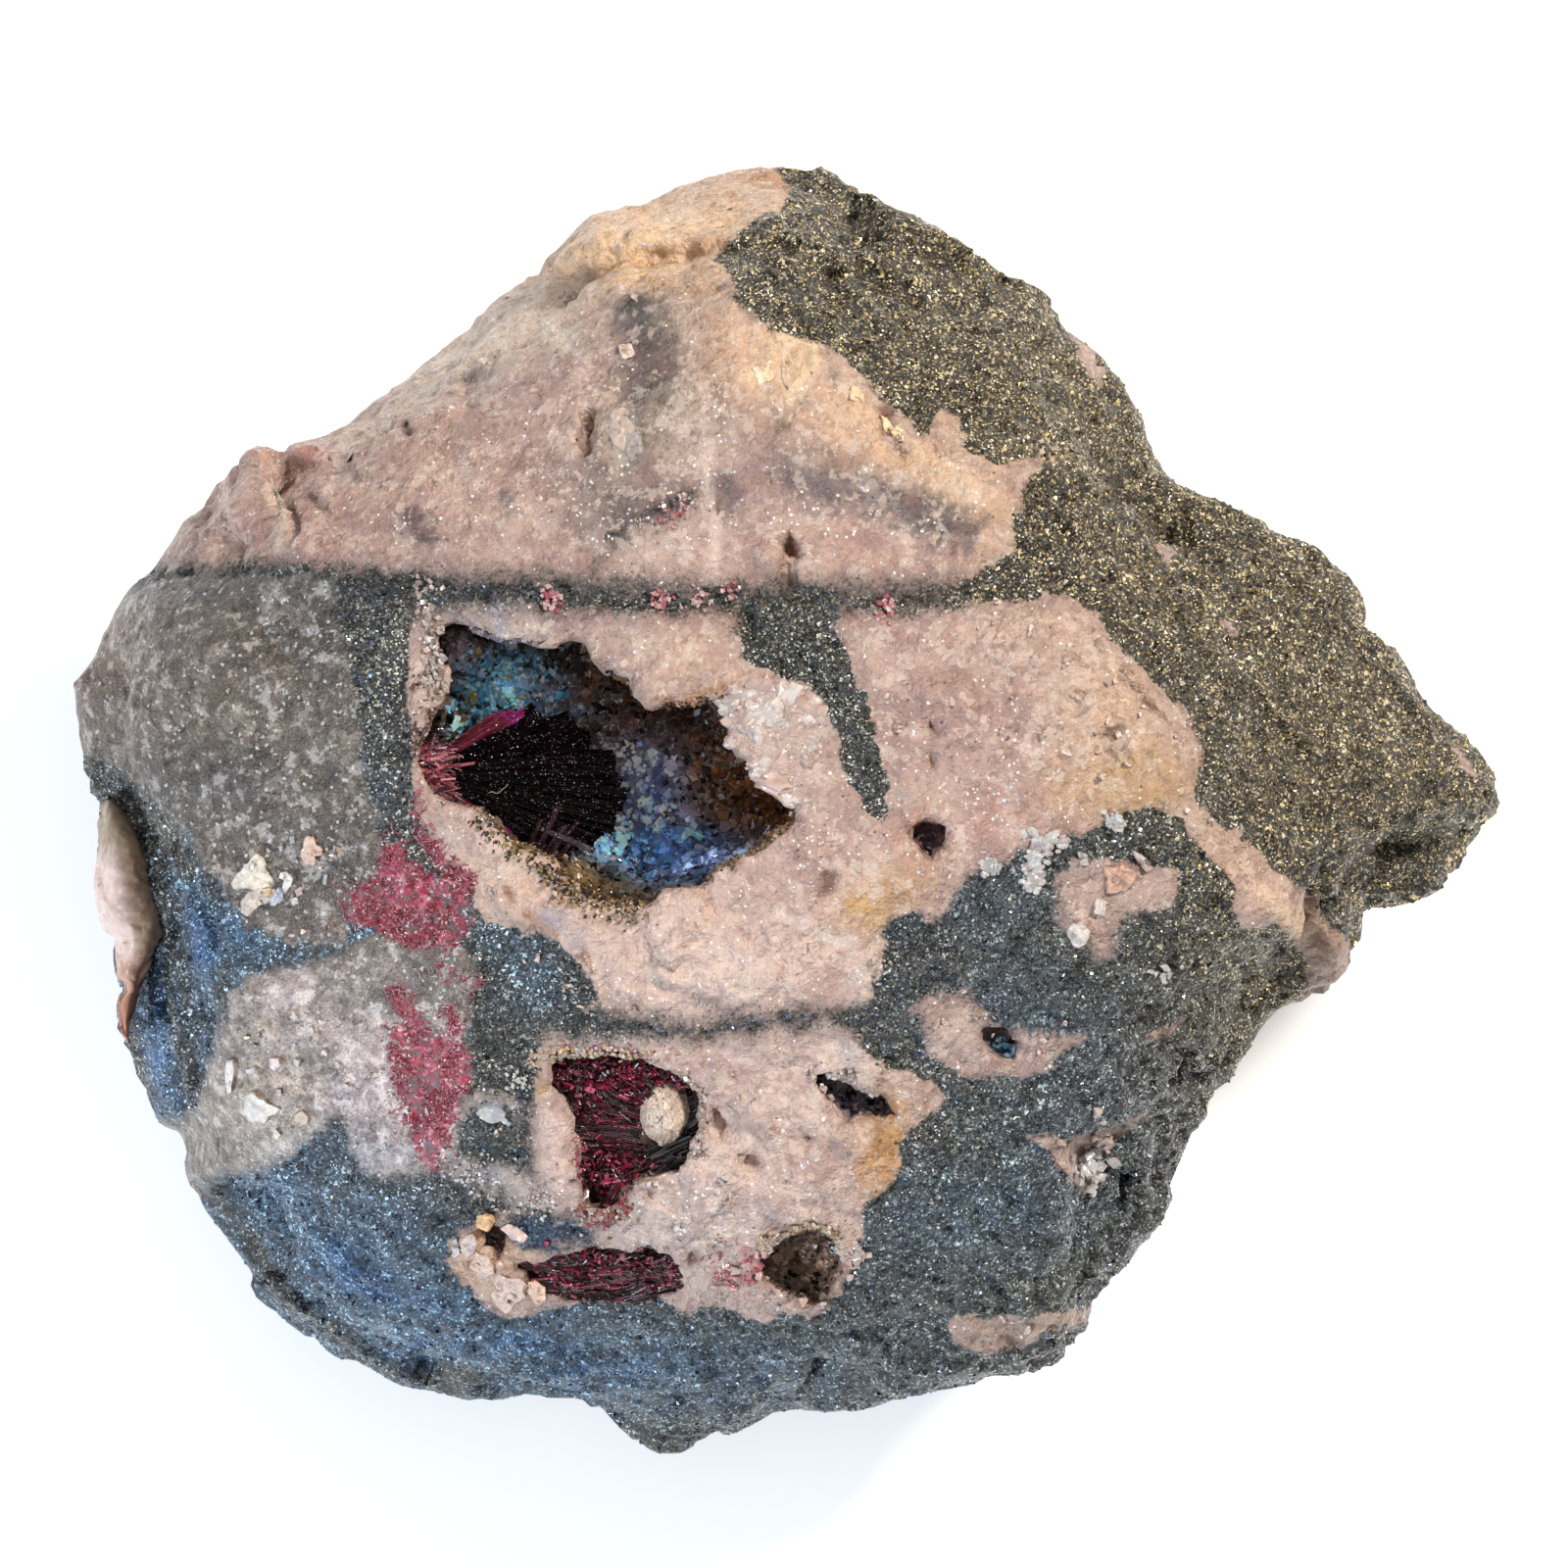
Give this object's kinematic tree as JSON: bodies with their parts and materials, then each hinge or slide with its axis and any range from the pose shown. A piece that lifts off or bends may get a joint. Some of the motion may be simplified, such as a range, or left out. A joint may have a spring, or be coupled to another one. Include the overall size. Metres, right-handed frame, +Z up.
{
  "type": "erythrite specimen",
  "caption": "Loose lump of dark cobalt ore veined with pink dolomite, with open cavities lined with druse and holding crimson erythrite sprays; lies flat on its broken back.",
  "frame": {"origin": "middle of the object's bounding box at its base, on the flat broken back that the lump lies on", "axes": "+Z up through the display face, +X towards the pointed end of the lump, +Y towards the pale pink apex"},
  "size_m": [0.0832, 0.0756, 0.0388],
  "materials": {
    "rock": "broken cobalt ore and pink dolomite, rough with fine metallic grains",
    "erythrite": "glassy dark crimson blades, see-through at thin edges",
    "erythrite_crust": "fine crimson fibres, dull to silky",
    "dolomite": "pink, sugary, pearly on cleavage faces",
    "calcite": "pale, translucent, pearly on cleavage faces"
  },
  "bodies": {
    "root": {"matrix_rock": "rock", "erythrite_fan": "erythrite", "erythrite_cross_prisms": "erythrite", "erythrite_sheaf_middle": "erythrite", "erythrite_sheaf_lower": "erythrite", "dolomite_knob": "dolomite", "dolomite_cluster_rim": "dolomite", "calcite_lump_left": "calcite", "calcite_chip": "calcite", "calcite_tuft": "calcite", "erythrite_crust_upper": "erythrite_crust", "erythrite_crust_lower": "erythrite_crust"}
  },
  "joints": []
}
